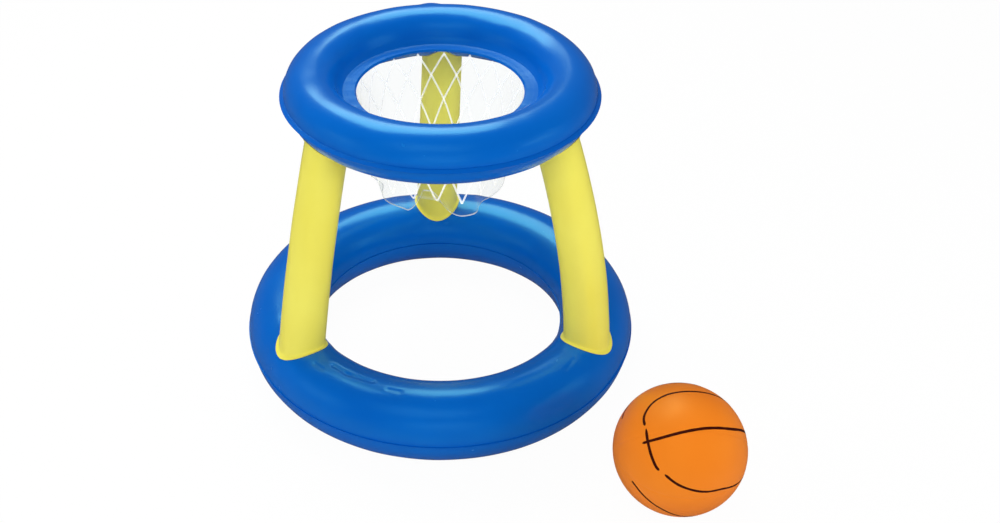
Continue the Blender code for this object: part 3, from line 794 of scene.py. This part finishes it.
# Azimuth in degrees, and the hem's radius there
HEM = (
    (-160, 0.0985), (-140, 0.1010), (-124, 0.0990), (-115, 0.1000), (-104, 0.0990), (-92, 0.0990),
    (-80, 0.1035), (-72, 0.1090), (-62, 0.1080), (-55, 0.0960), (-48, 0.0895), (-37, 0.0900),
    (-20, 0.0930), (0, 0.0960), (15, 0.0990), (40, 0.1035), (60, 0.0980), (85, 0.1020), (110, 0.0980),
    (135, 0.1030), (160, 0.0990), (180, 0.1020),
)


def hem_radius(azimuth):
    """The radius of the film's hem, smooth between the measured places."""
    degrees = (math.degrees(azimuth) + 160) % 360 - 160
    rows = list(HEM) + [(angle + 360, radius) for angle, radius in HEM[:2]]
    rows = [(rows[-3][0] - 360, rows[-3][1])] + rows
    for before, start, end, after in zip(rows, rows[1:], rows[2:], rows[3:]):
        if start[0] <= degrees <= end[0]:
            span = end[0] - start[0]
            share = (degrees - start[0]) / span
            slope_start = (end[1] - before[1]) / (end[0] - before[0]) * span
            slope_end = (after[1] - start[1]) / (after[0] - start[0]) * span
            two, three = share ** 2, share ** 3
            return (
                (2 * three - 3 * two + 1) * start[1] + (three - 2 * two + share) * slope_start
                + (3 * two - 2 * three) * end[1] + (three - two) * slope_end
            )


def band_height(radius):
    """The height of the top ring's inner band at a radius."""
    height = TOP.seam
    before = 0.0
    for reach, drop in TOP_BAND_STEPS:
        share = (TOP.inner - TOP_ROOT - radius - before) / (reach - before)
        height -= drop * min(1.0, max(0.0, share))
        before = reach
    return height


def film_point(azimuth, down, out=0.0):
    """A point of the hanging film at a way down it, from the hoop's axis, moved out by an offset."""
    if down < 0:
        reach = NET_TOP_RADIUS - down
        height = band_height(reach) - SHEET - FILM - FILM_GAP
        return Vector((reach * math.cos(azimuth), reach * math.sin(azimuth), height + out))
    share = down / NET_LENGTH
    ripple = hem_radius(azimuth) - NET_HEM_RADIUS
    reach = NET_TOP_RADIUS + share * (NET_HEM_RADIUS - NET_TOP_RADIUS) + ripple * share ** 2
    height = NET_TOP_HEIGHT - down
    degrees = math.degrees(azimuth)
    curl = ease(*CURL_FROM, degrees) * ease(*CURL_TO, degrees)
    curl += sum(part * math.exp(-((degrees - middle) / spread) ** 2) for middle, spread, part in SLIGHT_CURLS)
    margin = down - (NET_LENGTH - NET_MARGIN)
    lean = 0.0
    if margin > 0 and curl > 0.001:
        bend = CURL_BEND * curl
        lean = bend * margin / NET_MARGIN
        reach -= NET_MARGIN / bend * (1 - math.cos(lean))
        height += margin - NET_MARGIN / bend * math.sin(lean)
    reach += out * math.cos(lean)
    return Vector((reach * math.cos(azimuth), reach * math.sin(azimuth), height + out * math.sin(lean)))


film = open_tube("net_film", NET_SEGMENTS, NET_LOOPS)
# The last of the film down to its hem is marked for its painted highlight
hem_glint_marks = film.data.attributes.new("hem", "FLOAT", "POINT")
for point, mark in zip(film.data.vertices, hem_glint_marks.data):
    azimuth = math.atan2(point.co.y, point.co.x)
    down = (1 - point.co.z) * (NET_LENGTH + NET_BAND) - NET_BAND
    mark.value = ease(NET_LENGTH - HEM_GLINT_WIDTH, NET_LENGTH, down)
    point.co = AXIS + film_point(azimuth, down)
apply_modifier(film, "SOLIDIFY", thickness=FILM, offset=0, use_even_offset=True)


def clear_vinyl(name, colour, roughness, through, blend, share):
    """Unpigmented PVC: seen through where it faces the eye, and shinier and milkier where it turns away.

    It comes with the node for its share of shine, and the node that mixes that in.
    """
    material = new_material(name, {"Base Color": srgb(colour), "Roughness": roughness, "IOR": PVC_IOR})
    tree = material.node_tree
    shiny = tree.nodes["Principled BSDF"]
    facing = add_node(tree, "ShaderNodeLayerWeight", {"Blend": blend})
    shine = add_node(tree, "ShaderNodeMapRange", {"Value": facing.outputs["Facing"], **share})
    see_through = add_node(tree, "ShaderNodeBsdfTransparent", {"Color": srgb(through)})
    mixed = add_node(
        tree, "ShaderNodeMixShader", {0: shine.outputs[0], 1: see_through.outputs[0], 2: shiny.outputs[0]}
    )
    tree.links.new(mixed.outputs[0], tree.nodes["Material Output"].inputs["Surface"])
    return material, shine, mixed


# Film drawn between polished rolls. Along its hem more of its shine is mixed in: a painted highlight, for the
# glint on its cut edge
clear_film, shine, mixed = clear_vinyl(
    "clear_pvc_film", "#F4F8FA", 0.12, "#FDFEFE", 0.5, {"From Min": 0.3, "To Min": 0.012, "To Max": 0.14}
)
tree = clear_film.node_tree
hem = add_node(tree, "ShaderNodeAttribute", attribute_name="hem")
painted_hem_glint = add_node(
    tree, "ShaderNodeMath", {0: hem.outputs["Fac"], 1: HEM_PAINTED_GLINT, 2: shine.outputs[0]},
    operation="MULTIPLY_ADD",
)
tree.links.new(painted_hem_glint.outputs[0], mixed.inputs[0])
finish_piece(film, clear_film, "clear_film", "hoop", "net_skirt")

# The lattice is screen-printed in thick white ink: 19 meshes round, in crossing lines that meet in small
# rounded peaks at the top and in points at the bottom, above the film's bare margin.
MESHES = 19
FIRST_PEAK = math.radians(87.3)
INK = 0.00015
LATTICE_WIDTH = 0.0027
LATTICE_STEPS = 96
LATTICE_TOP = 0.0010
LATTICE_BOTTOM = 0.1225
PEAK_ROUND = 0.035
# The lines waver a little, and one of each two that cross lies over the other
WAVER = 0.0006
CROSSING_LIFT = 0.00016
INK_GAP = 0.00005
MEAN_RADIUS = 0.108
# How far down the film the lines have moved round it by so many meshes
ROWS = ((LATTICE_TOP, 0.0), (0.0335, 0.5), (0.0735, 1.0), (LATTICE_BOTTOM, 1.5))


def lattice_shift(down):
    """How far a line has moved round the film at a way down it, in meshes."""
    for (top, start), (bottom, end) in zip(ROWS, ROWS[1:]):
        if down <= bottom:
            return start + (end - start) * (down - top) / (bottom - top)
    return ROWS[-1][1]


def lay_strip(name, steps, rail):
    """A printed line: a long grid laid along a rail of share, side from -1 to 1 and height, and thickened."""
    bpy.ops.object.select_all(action="DESELECT")
    bpy.ops.mesh.primitive_grid_add(x_subdivisions=steps, y_subdivisions=2, size=2)
    strip = bpy.context.object
    strip.name = strip.data.name = name
    for point in strip.data.vertices:
        point.co = rail((point.co.x + 1) / 2, point.co.y)
    apply_modifier(strip, "SOLIDIFY", thickness=INK, offset=0)
    bpy.ops.object.mode_set(mode="EDIT")
    bpy.ops.mesh.select_all(action="SELECT")
    bpy.ops.mesh.normals_make_consistent(inside=False)
    bpy.ops.object.mode_set(mode="OBJECT")
    return strip


def join_strips(strips, material, slot, body):
    """Joins a print's lines to one piece of ink, which stands for no node."""
    bpy.ops.object.select_all(action="DESELECT")
    for strip in strips:
        strip.select_set(True)
    bpy.context.view_layer.objects.active = strips[0]
    bpy.ops.object.join()
    finish_piece(strips[0], material, slot, body, angle=50)
    return strips[0]


def lattice_rail(number):
    """The way of one lattice line up to its peak and down again."""
    peak = FIRST_PEAK + 2 * math.pi * number / MESHES

    def middle(turned):
        rounded = math.hypot(turned, PEAK_ROUND)
        reach = (rounded - PEAK_ROUND) / (math.hypot(1, PEAK_ROUND) - PEAK_ROUND)
        down = LATTICE_TOP + (LATTICE_BOTTOM - LATTICE_TOP) * reach
        shift = lattice_shift(down) * turned / rounded
        waver = WAVER * noise.noise(Vector((3 * turned, number, 0.5)))
        return peak + shift * 2 * math.pi / MESHES + waver / NET_TOP_RADIUS, down

    def rail(share, side):
        turned = 2 * share - 1
        azimuth, down = middle(turned)
        before, after = middle(turned - 0.01), middle(turned + 0.01)
        along = Vector(((after[0] - before[0]) * MEAN_RADIUS, after[1] - before[1])).normalized()
        across = Vector((-along.y, along.x)) * side * LATTICE_WIDTH / 2
        lift = (CROSSING_LIFT if turned > 0 else 0.0) * ease(0.02, 0.1, abs(turned))
        height = FILM / 2 + INK / 2 + INK_GAP + lift
        spot = azimuth + across.x / MEAN_RADIUS
        return AXIS + film_point((spot + math.pi) % (2 * math.pi) - math.pi, down + across.y, height)

    return rail


# Matt white vinyl ink. Light also shines through it from behind, which this thin a print can't carry, so
# it lets some through and has a weak white emission: painted light in place of that light from behind
ink = new_material("white_screen_ink_painted_glow", {
    "Base Color": srgb("#FFFFFF"), "Roughness": 0.6, "Specular IOR Level": 0.2, "Alpha": 0.4,
    "Emission Color": srgb("#FFFFFF"), "Emission Strength": 0.33,
})
lattice = [lay_strip("net_print", LATTICE_STEPS, lattice_rail(number)) for number in range(MESHES)]
net_print = join_strips(lattice, ink, "clear_film", "hoop")


# Ball. Six gores of orange vinyl sheet are welded edge to edge round a level axis and blown up; a disc
# inside closes each pole. The lines of a basketball are printed on it in dark brown ink.
BALL_RADIUS = 0.091
BALL_CENTRE = Vector((HOOP_X + 0.3277, HOOP_Y - 0.340, BALL_RADIUS))
GORES = 6
VALVE_GORE = 3
POLE_HOLE = 0.006
POLE_DISC = 0.012
GORE_WELD = 0.00025
GORE_WELD_WIDTH = 0.0018

orange = vinyl_material("orange_pvc_sheet", "#F68622", "#F2801E", 0.45, 0.7, "#FFE070")


def gore_turn(number):
    """Turns the first gore, which faces down, to another's place round the ball's level axis."""
    turn = Matrix.Rotation(2 * math.pi * (number - 1) / GORES, 4, "X")
    return Matrix.Translation(BALL_CENTRE) @ turn @ Matrix.Translation(-BALL_CENTRE)


def copy_piece(piece, name, move):
    """A copy of a piece with a mesh of its own, moved to its place."""
    copy = piece.copy()
    copy.data = piece.data.copy()
    copy.name = copy.data.name = name
    bpy.context.scene.collection.objects.link(copy)
    copy.data.transform(move)
    return copy


# How far inside a gore's edges the sphere is cut, in millimetres, so that the weld has rows of its own
EDGE_CUTS = (0.0, 0.6, 1.2, 2.0, 3.0)


def first_gore():
    """One gore, cut out of a sphere whose poles lie level, with a shallow weld along both its edges."""
    gore = start_piece(
        "ball_gore_1_sheet", bpy.ops.mesh.primitive_uv_sphere_add, segments=192, ring_count=96,
        radius=BALL_RADIUS, location=BALL_CENTRE, rotation=(0, math.pi / 2, 0), calc_uvs=False,
    )
    edge = math.pi / GORES
    level = math.sqrt(BALL_RADIUS ** 2 - POLE_HOLE ** 2)
    cuts = []
    for hand in (1, -1):
        for inside in EDGE_CUTS:
            angle = edge - inside * 0.001 / BALL_RADIUS
            across = Vector((0, hand * math.cos(angle), math.sin(angle)))
            cuts.append((across * (WELD_GAP / 2 if inside == 0 else 0) * -1, across, inside == 0))
    cuts += [(Vector((hand * level, 0, 0)), (hand, 0, 0), True) for hand in (1, -1)]
    for from_centre, normal, clear_outer in cuts:
        bpy.ops.mesh.select_all(action="SELECT")
        bpy.ops.mesh.bisect(
            plane_co=BALL_CENTRE + from_centre, plane_no=normal, clear_outer=clear_outer, threshold=0.000001
        )
    bpy.ops.object.mode_set(mode="OBJECT")
    for point in gore.data.vertices:
        local = point.co - BALL_CENTRE
        angle = abs(math.atan2(local.y, -local.z))
        from_edge = (edge - angle) * math.hypot(local.y, local.z)
        depth = GORE_WELD * math.exp(-(from_edge / GORE_WELD_WIDTH) ** 2)
        point.co = BALL_CENTRE + local * (1 - depth / BALL_RADIUS)
    return gore


gores = [first_gore()]
for number in range(2, GORES + 1):
    gores.append(copy_piece(gores[0], f"ball_gore_{number}_sheet", gore_turn(number)))
for number, gore in enumerate(gores, 1):
    thicken(gore, "ball_valve" if number == VALVE_GORE else None)
    finish_piece(gore, orange, "orange_vinyl", "ball", f"ball_gore_{number}")

DISC_DEPTH = SHEET + 0.00003
for hand, word in ((-1, "left"), (1, "right")):
    rings = [POLE_DISC * share for share in (1.0, 0.75, 0.5, 0.25, 0.02)]
    disc = drawn_disc(f"ball_pole_disc_{word}_sheet", 64, rings)
    bpy.ops.mesh.merge(type="CENTER")
    bpy.ops.object.mode_set(mode="OBJECT")
    for point in disc.data.vertices:
        reach = point.co.to_2d()
        level = math.sqrt((BALL_RADIUS - DISC_DEPTH) ** 2 - reach.length_squared)
        point.co = BALL_CENTRE + Vector((hand * level, hand * reach.x, reach.y))
    thicken(disc)
    finish_piece(disc, orange, "orange_vinyl", "ball", f"ball_pole_disc_{word}")

# The printed lines, each through points given as directions from the ball's centre, with its widths at
# both ends. The two side loops are broken where the print stops short of a weld.
BALL_LINES = {
    "loop_upper": (0.0030, 0.0038, [
        (0.93, 0.33, 0.16), (0.85, 0.36, 0.38), (0.72, 0.35, 0.60), (0.479, 0.284, 0.831),
        (0.23, 0.235, 0.944), (-0.02, 0.207, 0.978), (-0.273, 0.17, 0.947), (-0.477, 0.081, 0.875),
        (-0.590, -0.04, 0.806), (-0.632, -0.14, 0.762), (-0.629, -0.255, 0.735),
    ]),
    "loop_middle": (0.0040, 0.0040, [
        (-0.617, -0.308, 0.724), (-0.605, -0.491, 0.627), (-0.57, -0.633, 0.523), (-0.51, -0.752, 0.417),
        (-0.462, -0.803, 0.376),
    ]),
    "loop_lower": (0.0038, 0.0020, [
        (-0.386, -0.855, 0.347), (-0.206, -0.947, 0.245), (0.001, -0.985, 0.171), (0.216, -0.97, 0.116),
        (0.472, -0.878, 0.078), (0.68, -0.733, -0.01), (0.83, -0.55, -0.08), (0.95, -0.25, -0.17),
        (0.97, 0.08, -0.22), (0.95, 0.28, -0.12), (0.94, 0.33, 0.06),
    ]),
    "cross": (0.0036, 0.0040, [
        (-0.677, -0.457, 0.577), (-0.43, -0.515, 0.742), (-0.105, -0.507, 0.856), (0.149, -0.463, 0.874),
        (0.384, -0.403, 0.83), (0.642, -0.299, 0.706), (0.943, -0.001, 0.332), (0.98, 0.18, -0.02),
        (0.86, 0.35, -0.36), (0.55, 0.50, -0.67), (0.10, 0.54, -0.84), (-0.35, 0.50, -0.79),
    ]),
    "side_lower": (0.0034, 0.0028, [
        (-0.791, -0.61, -0.038), (-0.735, -0.67, -0.085), (-0.665, -0.731, -0.153),
        (-0.485, -0.826, -0.289), (-0.301, -0.869, -0.394), (0.079, -0.8, -0.594), (0.30, -0.65, -0.70),
        (0.48, -0.38, -0.79), (0.52, -0.08, -0.85), (0.45, 0.25, -0.86), (0.28, 0.52, -0.81),
    ]),
    "side_upper": (0.0034, 0.0030, [
        (-0.88, 0.207, 0.427), (-0.827, 0.343, 0.445), (-0.712, 0.520, 0.470), (-0.551, 0.625, 0.553),
        (-0.351, 0.67, 0.654), (-0.08, 0.60, 0.79), (0.25, 0.60, 0.76), (0.52, 0.70, 0.49),
        (0.60, 0.78, 0.17), (0.52, 0.84, -0.15), (0.36, 0.83, -0.42), (0.30, 0.66, -0.69),
    ]),
}
LINE_TAPER = 0.004
LINE_TIP = 0.35
LINE_WAVER = 0.12
LINE_SPACING = 0.0015
INK_SINK = 0.00004


def through(points, share):
    """A place on a smooth line through directions, for a share of its spans."""
    rows = [Vector(point).normalized() for point in points]
    rows = [2 * rows[0] - rows[1]] + rows + [2 * rows[-1] - rows[-2]]
    spans = len(rows) - 3
    index = min(int(share * spans), spans - 1)
    t = share * spans - index
    a, b, c, d = rows[index:index + 4]
    bend = (2 * a - 5 * b + 4 * c - d) * t ** 2 + (3 * b - a - 3 * c + d) * t ** 3
    place = 0.5 * (2 * b + (c - a) * t + bend)
    return place.normalized()


def ball_rail(points, widths, length):
    """The way of one printed line over the ball, tapered at its two ends."""

    def rail(share, side):
        middle = through(points, share)
        along = (through(points, min(share + 0.002, 1)) - through(points, max(share - 0.002, 0))).normalized()
        across = along.cross(middle).normalized()
        width = widths[0] + share * (widths[1] - widths[0])
        end = min(share, 1 - share) * length / LINE_TAPER
        width *= LINE_TIP + (1 - LINE_TIP) * min(1.0, end)
        width *= 1 + LINE_WAVER * noise.noise(middle * 9)
        spot = (middle * BALL_RADIUS + across * side * width / 2).normalized()
        return BALL_CENTRE + spot * (BALL_RADIUS + INK / 2 - INK_SINK)

    return rail


# Dark vinyl ink, a little glossier than the sheet under it
brown_ink = new_material(
    "dark_brown_screen_ink", {"Base Color": srgb("#380800"), "Roughness": 0.5, "Specular IOR Level": 0.2}
)

strips = []
for name, (first_width, last_width, points) in BALL_LINES.items():
    places = [through(points, step / 200) for step in range(201)]
    length = BALL_RADIUS * sum((b - a).length for a, b in zip(places, places[1:]))
    rail = ball_rail(points, (first_width, last_width), length)
    strips.append(lay_strip("ball_print", round(length / LINE_SPACING), rail))
ball_print = join_strips(strips, brown_ink, "orange_vinyl", "ball")


# Valves. Each air chamber has one, moulded from clear soft vinyl: a flange welded on the sheet with a
# collar down through it, a stem that pushes down into the collar, and a plug on a strap.
VALVE_SIDES = 48
FLANGE_GAP = 0.0003
FLANGE_RADIUS = 0.011
FLANGE_THICKNESS = 0.0006
COLLAR_TOP = 0.0015
COLLAR_BORE = 0.005
COLLAR_OUTER = 0.006
COLLAR_BOTTOM = -0.008
STEM_OUTER = 0.0047
STEM_BORE = 0.0026
STEM_BOTTOM = -0.011
RIM_BOTTOM = 0.0018
RIM_TOP = 0.0028
HEAD_BOTTOM = 0.0031
HEAD_TOP = 0.0043
PLUG_HEAD_RADIUS = 0.0044
SPIGOT_RADIUS = 0.0022
SPIGOT_TIP_RADIUS = 0.0016
SPIGOT_BOTTOM = 0.0001
STRAP_WIDTH = 0.003
STRAP_THICKNESS = 0.0006
VALVE_BEVEL = 0.00018

# Soft PVC moulded without pigment, milkier than the film because it is thicker
soft = clear_vinyl(
    "clear_soft_vinyl_moulding", "#DDE4E6", 0.28, "#EFF3F4", 0.4, {"To Min": 0.55, "To Max": 0.95}
)[0]


def turned(name, rows, closed):
    """A moulded piece drawn from a circle through rows of radius and height, as if turned."""
    piece = start_piece(
        name, bpy.ops.mesh.primitive_circle_add, vertices=VALVE_SIDES, radius=rows[0][0],
        fill_type="NOTHING", location=(0, 0, rows[0][1]),
    )
    if not closed:
        bpy.ops.mesh.edge_face_add()
        bpy.ops.mesh.select_all(action="SELECT")
    extrude = bpy.ops.mesh.extrude_edges_move if closed else bpy.ops.mesh.extrude_region
    for before, after in zip(rows, rows[1:] + rows[:1] if closed else rows[1:]):
        grow = after[0] / before[0]
        extrude()
        bpy.ops.transform.resize(value=(grow, grow, 1), center_override=(0, 0, 0))
        bpy.ops.transform.translate(value=(0, 0, after[1] - before[1]))
    bpy.ops.mesh.select_all(action="SELECT")
    bpy.ops.mesh.remove_doubles(threshold=0.000001)
    bpy.ops.mesh.normals_make_consistent(inside=False)
    bpy.ops.object.mode_set(mode="OBJECT")
    return piece


def add_strap(plug):
    """Joins the plug's strap to its head."""
    length = COLLAR_OUTER - SPIGOT_RADIUS
    middle = (length / 2 - COLLAR_OUTER, 0, (HEAD_BOTTOM + HEAD_TOP) / 2)
    strap = start_piece("strap", bpy.ops.mesh.primitive_cube_add, size=1, location=middle)
    bpy.ops.transform.resize(value=(length, STRAP_WIDTH, STRAP_THICKNESS), center_override=middle)
    bpy.ops.object.mode_set(mode="OBJECT")
    apply_modifier(plug, "BOOLEAN", operation="UNION", object=strap, solver="EXACT")
    bpy.data.objects.remove(strap)


# Rows of radius and height: round the wall of the flange and of the stem, and up the plug
FLANGE_TOP = FLANGE_GAP + FLANGE_THICKNESS
MOULDINGS = {
    "flange": [
        (COLLAR_BORE, COLLAR_BOTTOM), (COLLAR_BORE, COLLAR_TOP), (COLLAR_OUTER, COLLAR_TOP),
        (COLLAR_OUTER, FLANGE_TOP), (FLANGE_RADIUS, FLANGE_TOP), (FLANGE_RADIUS, FLANGE_GAP),
        (COLLAR_OUTER, FLANGE_GAP), (COLLAR_OUTER, COLLAR_BOTTOM),
    ],
    "stem": [
        (STEM_BORE, STEM_BOTTOM), (STEM_BORE, RIM_TOP), (COLLAR_OUTER, RIM_TOP), (COLLAR_OUTER, RIM_BOTTOM),
        (STEM_OUTER, RIM_BOTTOM), (STEM_OUTER, STEM_BOTTOM),
    ],
    "plug": [
        (SPIGOT_TIP_RADIUS, SPIGOT_BOTTOM), (SPIGOT_RADIUS, HEAD_BOTTOM), (PLUG_HEAD_RADIUS, HEAD_BOTTOM),
        (PLUG_HEAD_RADIUS, HEAD_TOP),
    ],
}
mouldings = {word: turned(f"{word}_moulding", rows, word != "plug") for word, rows in MOULDINGS.items()}
add_strap(mouldings["plug"])
for moulding in mouldings.values():
    # The mould leaves the edges slightly round
    apply_modifier(
        moulding, "BEVEL", width=VALVE_BEVEL, segments=2, limit_method="ANGLE", angle_limit=math.radians(40)
    )
for valve in VALVES:
    for word, moulding in mouldings.items():
        piece = copy_piece(moulding, f"{valve}_{word}_moulding", valve_place(valve))
        body = f"{valve}_{word}" if word != "flange" else "ball" if valve == "ball_valve" else "hoop"
        finish_piece(piece, soft, "clear_soft_vinyl", body, f"{valve}_{word}")
for moulding in mouldings.values():
    bpy.data.objects.remove(moulding)
